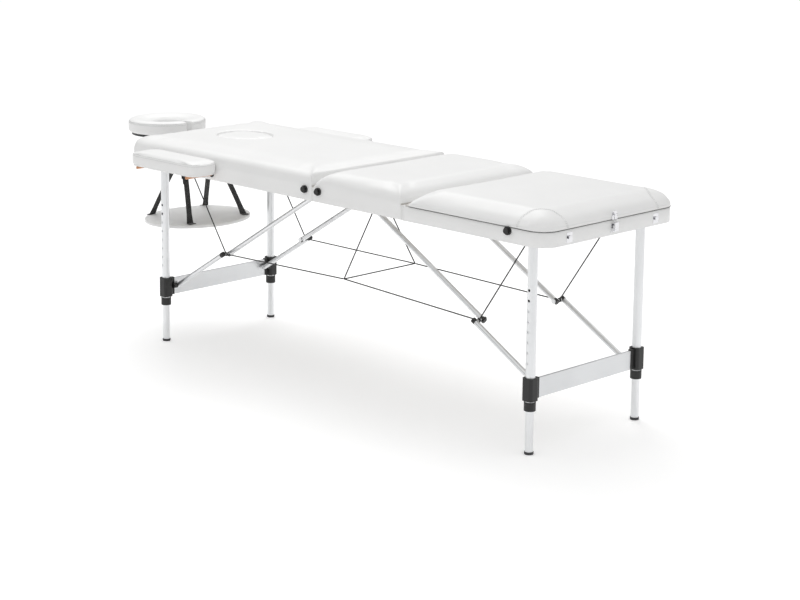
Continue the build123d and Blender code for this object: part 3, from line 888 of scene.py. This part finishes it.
def slingCushion():
    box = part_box("sling_pad")
    half = ((box[1][0] - box[0][0]) / 2, box[1][1])
    pad = padMesh("slingCushion", {
        "inner": box[1][0], "outer": box[0][0], "low": box[0][1], "high": box[1][1],
        "innerCorner": half, "outerCorner": half, "sideRound": 5 * mm, "crown": 2 * mm,
        "top": box[1][2] - 1 * mm, "base": box[0][2], "spacing": 11 * mm})
    puff(pad, heldBelow(box[0][2] + 1 * mm), swell=3 * mm)
    finer(pad)
    placeOn(pad, "arm_sling", "pad_cover", "sling_pad")
    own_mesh(pad)


def band(verts, faces, path, wide, thick, across):
    # a flat strap along a path; across is the direction of its width, one for each point
    start = len(verts)
    for k, point in enumerate(path):
        before, after = path[max(k - 1, 0)], path[min(k + 1, len(path) - 1)]
        along = (after - before).normalized()
        out = along.cross(across).normalized() * thick / 2
        w = wide[k] if isinstance(wide, list) else wide
        for side, face in ((-1, -1), (1, -1), (1, 1), (-1, 1)):
            verts.append(point + across * (side * w / 2) + out * face)
    count = len(path)
    for k in range(count - 1):
        for j in range(4):
            a, b = start + k * 4 + j, start + k * 4 + (j + 1) % 4
            faces.append((a, b, b + 4, a + 4))
    faces.append((start, start + 3, start + 2, start + 1))
    faces.append(tuple(start + (count - 1) * 4 + j for j in range(4)))


def slingStraps():
    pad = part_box("sling_pad")
    middle = (pad[0][0] + pad[1][0]) / 2
    top = railBottom - 5 * mm
    verts, faces = [], []
    across = Vector((0, 1, 0))
    look = slingLook
    for side in (-1, 1):
        for step in (-1, 1):
            foot = Vector((middle + step * look["footX"], side * look["footY"], pad[1][2] + 2.5 * mm))
            head = Vector((middle + step * look["headX"], side * look["headY"], top))
            path, wide = [], []
            for k in range(look["steps"] + 1):
                share = k / look["steps"]
                bow = math.sin(math.pi * share) * 3 * mm
                path.append(foot.lerp(head, share) + Vector((step * bow, side * bow * 0.4, 0)))
                wide.append(look["strapWide"] + (6 * mm * (1 - share * 8) if share < 0.125 else 0))
            path.insert(0, foot + Vector((step * 16 * mm, 0, -0.5 * mm)))
            wide.insert(0, look["strapWide"] + 6 * mm)
            band(verts, faces, path, wide, look["strapThick"], across)
            if step == 1:      # the slider that sets the strap's length, with a doubled tail
                spot, above = foot.lerp(head, 0.72), foot.lerp(head, 0.80)
                along = (above - spot).normalized()
                out = along.cross(across).normalized()
                for level in (-9, 0, 9):
                    rung = spot + along * level * mm + out * 1.2 * mm
                    band(verts, faces, [rung - along * 1.8 * mm, rung + along * 1.8 * mm],
                         look["strapWide"] + 8 * mm, 4 * mm, across)
                for edge in (-1, 1):
                    post = spot + across * edge * (look["strapWide"] / 2 + 3 * mm) + out * 1.2 * mm
                    band(verts, faces, [post - along * 10.8 * mm, post + along * 10.8 * mm],
                         3.2 * mm, 4 * mm, across)
                tail = [spot + out * 2.6 * mm - along * 2 * mm, spot + out * 3.2 * mm - along * 30 * mm]
                band(verts, faces, tail, look["strapWide"], 1.4 * mm, across)
    straps = meshObject("slingWebbing", verts, faces, "webbing", smooth=False)
    placeOn(straps, "arm_sling", "webbing", "sling_straps")
    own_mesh(straps)


cableLook = {
    "radius": 2.0 * mm,
    "sleeveRadius": 1.798 * mm,
    "sleeve": 40 * mm,
    "eye": 5.4 * mm,          # radius of the eye round the knuckle pin
    "pinGap": 4.3 * mm,       # a run starts this far from the pin
    "hookDrop": 11 * mm,
    "keep": 0.04,
    "hookKeep": 0.01,
}


def strutLine(name):
    # lower pivot, knuckle and upper pivot of a strut, as x and z
    lower, upper = pivots[name + "_lower_strut_fold"], pivots[name + "_upper_strut_fold"]
    low, top = Vector((lower[0], 0, lower[2])), Vector((upper[0], 0, upper[2]))
    along = (top - low).normalized()
    radius = 8 * mm
    reach = (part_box(name + "_lower_struts")[1][2] - radius * abs(along.x) - low.z) / along.z
    return low, low + along * reach, top


def cables():
    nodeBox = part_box("centre_cables")
    centreY = nodeBox[1][1] - 1.5 * mm
    centreZ = nodeBox[0][2] + 4 * mm
    for name, side in (("head", -1), ("foot", 1)):
        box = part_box(name + "_cables")
        _, knuckle, _ = strutLine(name)
        cableY = box[1][1] - 1.5 * mm
        lines, sleeves = [], []
        for y in (-1, 1):
            legTop = Vector((box[0][0] if side < 0 else box[1][0], y * cableY, railTop - 2 * mm))
            middle = Vector((knuckle.x, y * cableY, knuckle.z))
            centre = Vector((hingeX, y * centreY, centreZ))
            for far in (legTop, centre):
                along = (far - middle).normalized()
                start = middle + along * cableLook["pinGap"]
                lines.append([start, far - along * 4 * mm])
                sleeve = along * cableLook["sleeve"]
                sleeves.append([start, start + sleeve * 0.55, start + sleeve])
            ring = []
            for k in range(17):
                turn = 2 * math.pi * k / 16
                ring.append(middle + Vector((math.cos(turn), 0, math.sin(turn))) * cableLook["eye"])
            sleeves.append(ring)
        cable = tube(name + "CableRun", lines, cableLook["radius"], "cable", None, "")
        cover = tube(name + "CableSleeves", sleeves, cableLook["sleeveRadius"], "bracket", None, "")
        body = name + "_half"
        placeOn(cable, body, "cable", name + "_cables")
        placeOn(cover, body, "cable")
        for piece in (cable, cover):
            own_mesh(piece)
    hook = Vector((at(1, 2.2), 0, railBottom - cableLook["hookDrop"]))
    lines = [[hook, Vector((hingeX, y * centreY, centreZ))] for y in (-1, 1)]
    lines.append([Vector((hingeX, -centreY, centreZ)), Vector((hingeX, centreY, centreZ))])
    centrePiece = tube("centreCableRun", lines, cableLook["radius"], "cable", None, "")
    placeOn(centrePiece, "foot_half", "cable", "centre_cables")
    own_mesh(centrePiece)


def strutCaps():
    # black caps on the open ends of the strut tubes
    cap = {"radius": 8.5 * mm, "length": 13 * mm, "over": 5 * mm, "lower": 198 * mm, "upper": 164 * mm}
    for name in ("head", "foot"):
        low, knuckle, top = strutLine(name)
        along = (top - low).normalized()
        for part, direction in (("lower", 1), ("upper", -1)):
            y = cap[part]
            paths = []
            for side in (-1, 1):
                start = Vector((knuckle.x, side * y, knuckle.z)) - along * direction * cap["over"]
                paths.append([start, start + along * direction * cap["length"]])
            piece = tube(name + part.capitalize() + "StrutCaps", paths, cap["radius"],
                         "bracket", None, "")
            soften = piece.modifiers.new("soft", "BEVEL")
            soften.width = 1.5 * mm
            soften.segments = 2
            soften.limit_method = "ANGLE"
            bake(piece)
            placeOn(piece, name + f"_{part}_struts", "bracket")


def rodGrommets():
    # black bushes where the armrest rods enter the rail
    for s in armrestLook["rodStations"]:
        for side in (-1, 1):
            x = at(-1, s)
            ring = []
            for k in range(25):
                turn = 2 * math.pi * k / 24
                ring.append(Vector((x + math.cos(turn) * 8 * mm, side * (halfWidth + 0.4 * mm),
                                    armrestLook["rodHeight"] + math.sin(turn) * 8 * mm)))
            place = "near" if side < 0 else "far"
            tube(f"rodBush_{place}_{s}", [ring], 2.4 * mm, "bumper", "head_half", "bumper")


slotFinish = {
    "pad_cover": "vinyl", "foam_board": "board", "rail_wood": "vinyl", "armrest_wood": "rod",
    "tube": "tube", "crossbar": "crossbar", "bracket": "bracket", "foot_rubber": "rubber",
    "bumper": "bumper", "steel": "steel", "chrome": "chrome", "cable": "cable",
    "webbing": "webbing", "cradle_black": "paint", "cradle_plastic": "bracket",
}


def finishFrame():
    slots = {part["node"]: part["material_slot"] for part in frame["record"]["subparts"]}
    for name, node in nodes.items():
        clothe(node, slotFinish[slots[name]])


studio = {
    "lens": 86.74, "where": (4.2386, -4.2564, 1.7590), "turn": 47.93, "down": 9.67,
    "shift": (0.15, -0.1875),
    "horizon": 0.18, "zenith": 1.25, "backdrop": 1.0, "glow": 0.19,
    "key": {"energy": 45, "size": 2.5, "where": (-1.6, 1.2, 3.6)},
}


def lamp(name, settings, target):
    light = bpy.data.lights.new(name, "AREA")
    light.energy = settings["energy"]
    light.size = settings["size"]
    obj = bpy.data.objects.new(name, light)
    obj.location = settings["where"]
    aim = Vector(target) - Vector(settings["where"])
    obj.rotation_euler = aim.to_track_quat("-Z", "Y").to_euler()
    bpy.context.collection.objects.link(obj)


def makeStudio():
    scene = bpy.context.scene
    camera = bpy.data.cameras.new("camera")
    camera.lens = studio["lens"]
    camera.sensor_width = 36
    camera.shift_x, camera.shift_y = studio["shift"]
    eye = bpy.data.objects.new("camera", camera)
    x, y, z = studio["where"]
    eye.location = (x + hingeX, y, z)
    eye.rotation_euler = (math.radians(90 - studio["down"]), 0, math.radians(studio["turn"]))
    bpy.context.collection.objects.link(eye)
    scene.camera = eye
    world = bpy.data.worlds.new("studio")
    scene.world = world
    world.use_nodes = True
    tree = world.node_tree
    soft = tree.nodes["Background"]
    soft.inputs["Color"].default_value = (1, 1, 1, 1)
    sky, parts = tree.nodes.new("ShaderNodeTexCoord"), tree.nodes.new("ShaderNodeSeparateXYZ")
    rise = tree.nodes.new("ShaderNodeMapRange")      # a bright ceiling over dim walls
    rise.inputs["To Min"].default_value = studio["horizon"]
    rise.inputs["To Max"].default_value = studio["zenith"]
    tree.links.new(sky.outputs["Generated"], parts.inputs[0])
    tree.links.new(parts.outputs["Z"], rise.inputs["Value"])
    tree.links.new(rise.outputs[0], soft.inputs["Strength"])
    bright = tree.nodes.new("ShaderNodeBackground")
    bright.inputs["Strength"].default_value = studio["backdrop"]
    bright.inputs["Color"].default_value = (1, 1, 1, 1)
    rays, mix = tree.nodes.new("ShaderNodeLightPath"), tree.nodes.new("ShaderNodeMixShader")
    tree.links.new(rays.outputs["Is Camera Ray"], mix.inputs[0])
    tree.links.new(soft.outputs[0], mix.inputs[1])
    tree.links.new(bright.outputs[0], mix.inputs[2])
    tree.links.new(mix.outputs[0], tree.nodes["World Output"].inputs["Surface"])
    lamp("overhead", studio["key"], (0, 0, 0.6))
    reach = 14
    corners = [(-reach, -reach, 0), (reach, -reach, 0), (reach, reach, 0), (-reach, reach, 0)]
    floor = meshObject("floor", corners, [(0, 1, 2, 3)], "vinyl", smooth=False)
    paper = Finish("paper", Roughness=0.9, Specular_IOR_Level=0.1, Emission_Strength=studio["glow"],
                   Emission_Color=(1, 1, 1, 1))
    paper.set("Base Color", paper.colours(paper.noise(2), (0.93, 0.93, 0.93), (0.95, 0.95, 0.95)))
    floor.data.materials.clear()
    floor.data.materials.append(paper.material)
    scene.view_settings.view_transform = "Standard"


makeStudio()
finishFrame()
print("frame finished")
headCushion()
plugCushion()
middleCushion()
backCushion()
backPiping()
railWrap()
print("table padding made")
armrestCushions()
armrestFrames()
cradleCushion()
slingCushion()
slingStraps()
print("accessories made")
cables()
strutCaps()
rodGrommets()
print("cables and small parts made")
